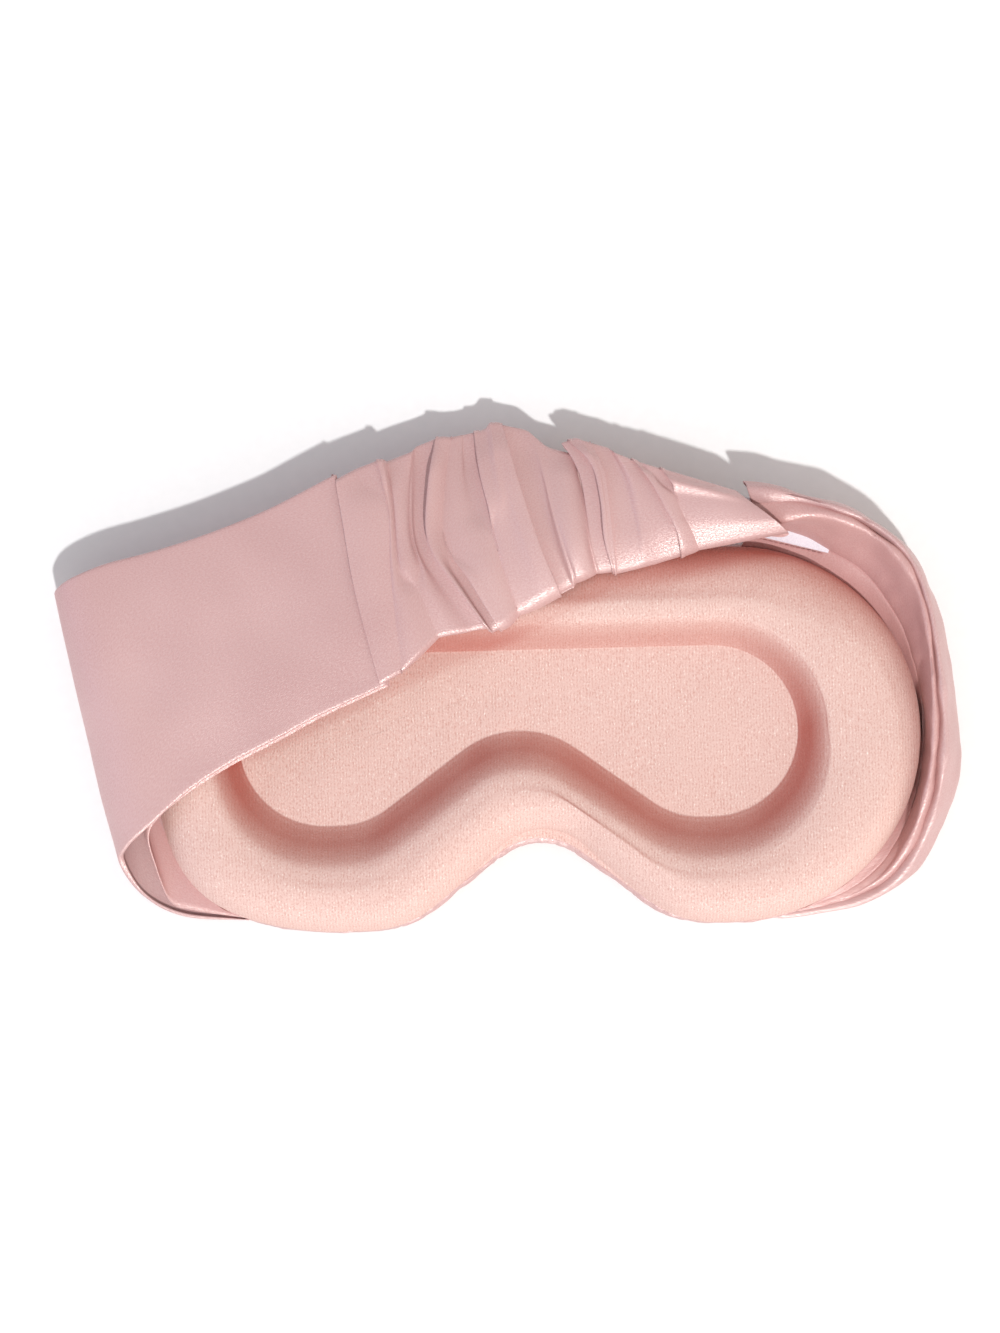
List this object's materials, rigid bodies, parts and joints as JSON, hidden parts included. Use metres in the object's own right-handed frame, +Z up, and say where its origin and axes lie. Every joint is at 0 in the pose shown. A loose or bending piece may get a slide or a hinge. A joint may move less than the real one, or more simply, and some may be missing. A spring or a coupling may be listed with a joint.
{
  "type": "sleep eye mask",
  "caption": "Contoured satin sleep mask with a moulded, knit-covered foam back and a wide gathered elastic headband folded over it.",
  "frame": {"origin": "middle of the mask, on the satin front face that it lies on", "axes": "+Z up, out of the back of the mask towards the wearer's face; +Y towards the mask's top edge; +X along the mask, across both eyes"},
  "size_m": [0.246, 0.1379, 0.0262],
  "materials": {
    "satin": "dusty pink polyester satin",
    "knit": "peach pink jersey knit with a slight sheen",
    "foam": "moulded polyurethane foam and wadding",
    "blackout": "dark light-blocking lining cloth",
    "thread": "polyester sewing thread",
    "elastic": "woven elastic",
    "label": "white woven satin label tape"
  },
  "bodies": {
    "mask": {"front_panel": "satin", "front_wadding": "foam", "blackout_lining": "blackout", "foam_core": "foam", "knit_cover": "knit", "edge_binding": "satin", "label_tack": "thread", "left_wing_outer": "satin", "left_wing_lining": "satin", "left_wing_root": "satin", "right_wing_outer": "satin", "right_wing_lining": "satin", "right_wing_root": "satin"},
    "back_band": {"band_casing_outer": "satin", "band_casing_lining": "satin", "band_elastic": "elastic", "left_band_seam": "satin", "right_band_seam": "satin", "left_elastic_tack": "thread", "right_elastic_tack": "thread"},
    "label": {"care_label": "label"}
  },
  "joints": [
    {"name": "band_pull", "type": "slide", "parent": "mask", "child": "back_band", "axis": [0, 0, 1], "range_m": [0, 0.06], "stiffness_N_per_m": 100, "deforming": ["left_wing_outer", "left_wing_lining", "right_wing_outer", "right_wing_lining"]},
    {"name": "label_flip", "type": "hinge", "parent": "mask", "child": "label", "pos_m": [0.06706, 0.05173, 0.0069], "axis": [0.9659, -0.2588, 0], "range_deg": [-30, 90], "stiffness_Nm_per_rad": 0.0001}
  ]
}
